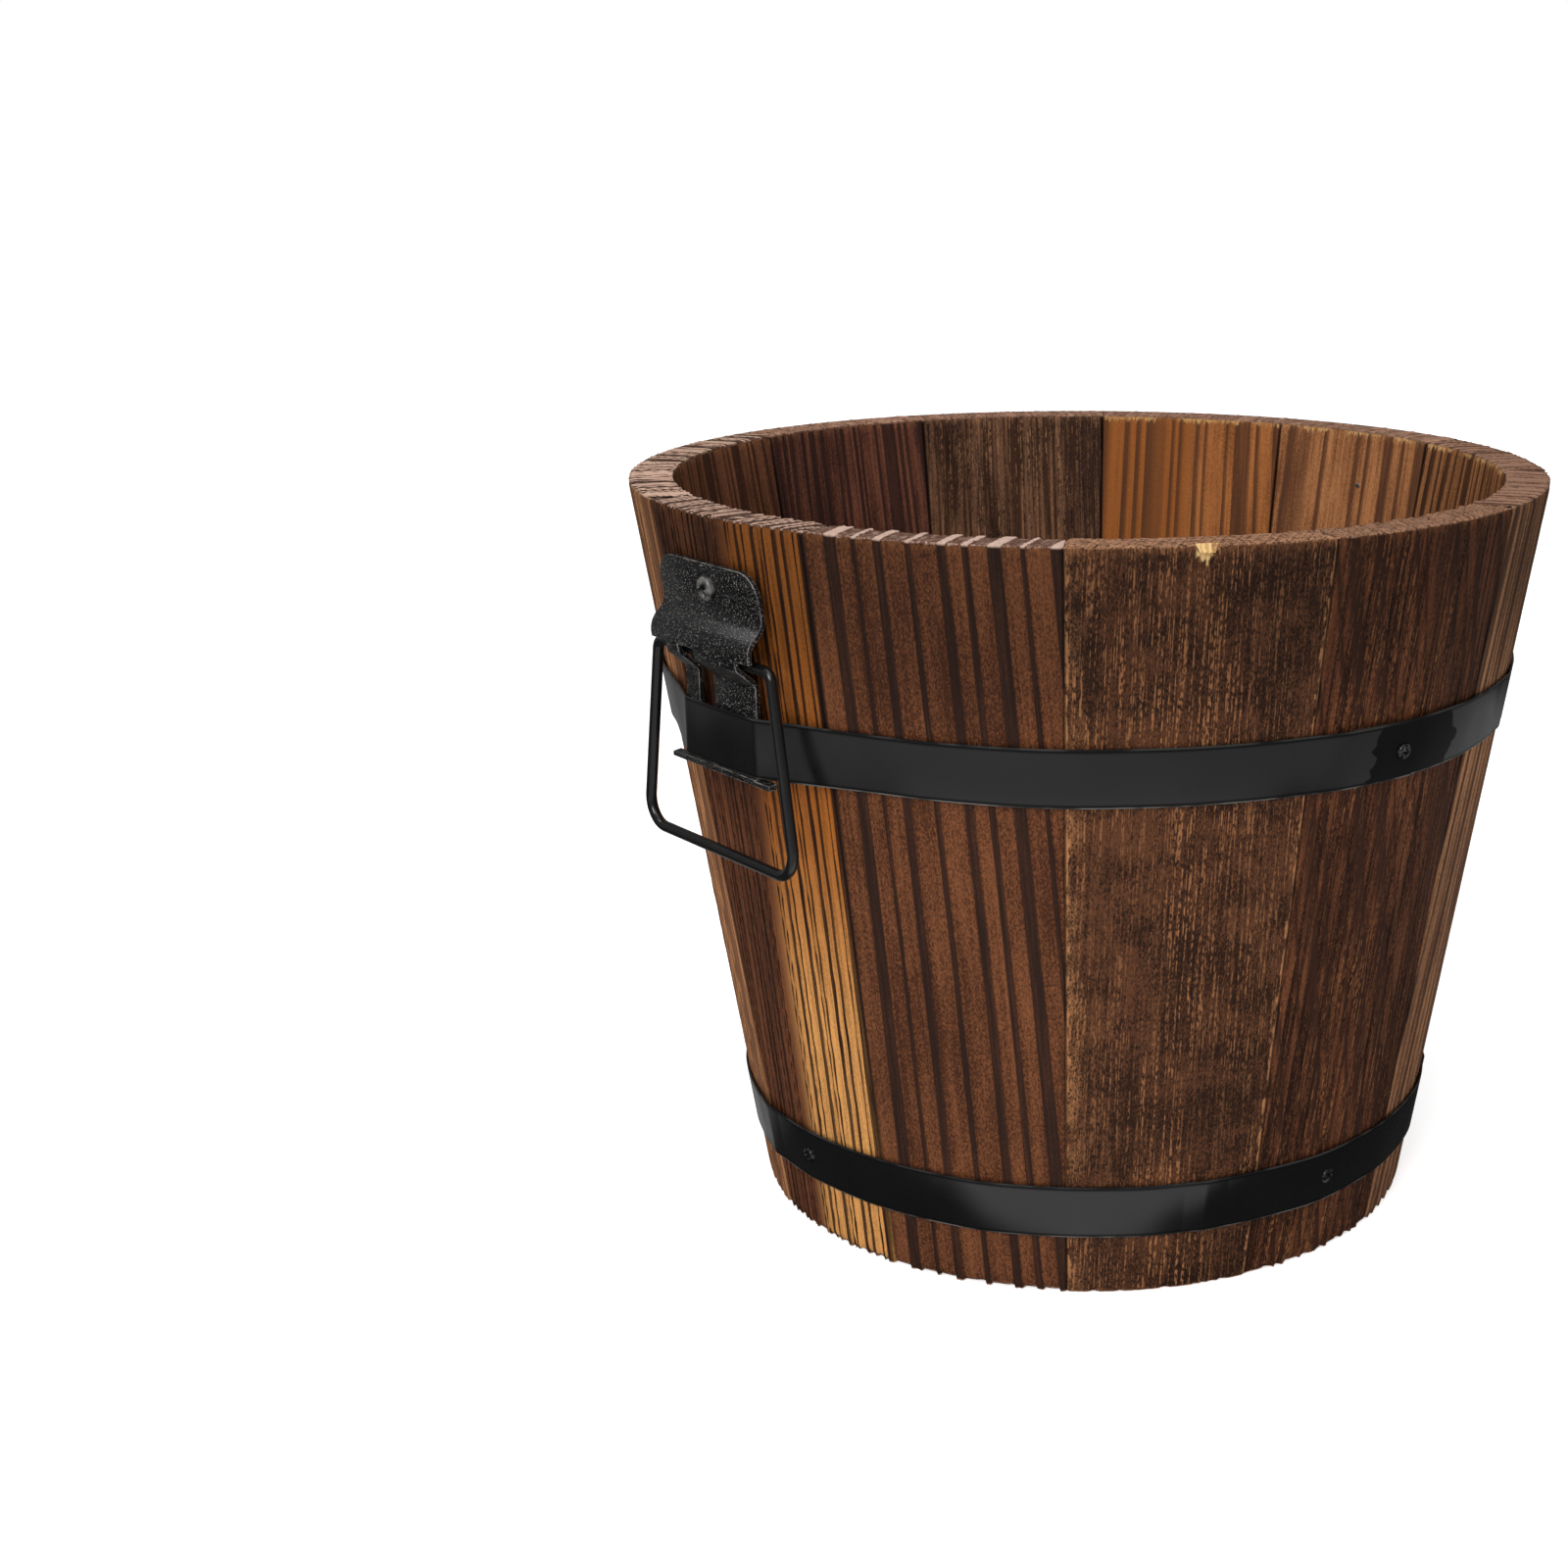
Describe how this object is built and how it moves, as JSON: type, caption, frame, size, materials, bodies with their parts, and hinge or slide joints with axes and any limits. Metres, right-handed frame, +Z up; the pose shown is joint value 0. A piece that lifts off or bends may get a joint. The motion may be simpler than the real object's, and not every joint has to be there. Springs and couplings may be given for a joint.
{
  "type": "wooden barrel planter",
  "caption": "Tapered round wooden planter of upright staves bound by steel hoops, with a drained board bottom and a swinging wire bail on a stamped bracket at each side.",
  "frame": {"origin": "middle of the ring of stave ends that the pot stands on", "axes": "+Z up along the pot's axis, X through the two handles, the seen handle on -X, +Y to the back"},
  "size_m": [0.2642, 0.2598, 0.211],
  "materials": {
    "stave_wood": "charred, wire-brushed and oiled softwood",
    "board_wood": "sawn and lightly charred softwood",
    "hoop_strap": "black enamel on steel strap, semi-gloss",
    "bracket_sheet": "black textured powder coat",
    "bail_wire": "black gloss paint on bent wire",
    "screw_black": "black phosphate, slightly worn"
  },
  "bodies": {
    "pot": {"stave_01": "stave_wood", "stave_02": "stave_wood", "stave_03": "stave_wood", "stave_04": "stave_wood", "stave_05": "stave_wood", "stave_06": "stave_wood", "stave_07": "stave_wood", "stave_08": "stave_wood", "stave_09": "stave_wood", "stave_10": "stave_wood", "stave_11": "stave_wood", "stave_12": "stave_wood", "bottom_board_left": "board_wood", "bottom_board_middle": "board_wood", "bottom_board_right": "board_wood", "upper_hoop": "hoop_strap", "lower_hoop": "hoop_strap", "left_bracket": "bracket_sheet", "right_bracket": "bracket_sheet", "upper_hoop_screws": "screw_black", "lower_hoop_screws": "screw_black", "left_bracket_screw": "screw_black", "right_bracket_screw": "screw_black"},
    "left_handle": {"left_bail": "bail_wire"},
    "right_handle": {"right_bail": "bail_wire"}
  },
  "joints": [
    {"name": "left_bail_swing", "type": "hinge", "parent": "pot", "child": "left_handle", "pos_m": [-0.12768, 0, 0.17418], "axis": [0, 1, 0], "range_deg": [-10, 175]},
    {"name": "right_bail_swing", "type": "hinge", "parent": "pot", "child": "right_handle", "pos_m": [0.12768, 0, 0.17418], "axis": [0, -1, 0], "range_deg": [-10, 175]}
  ]
}
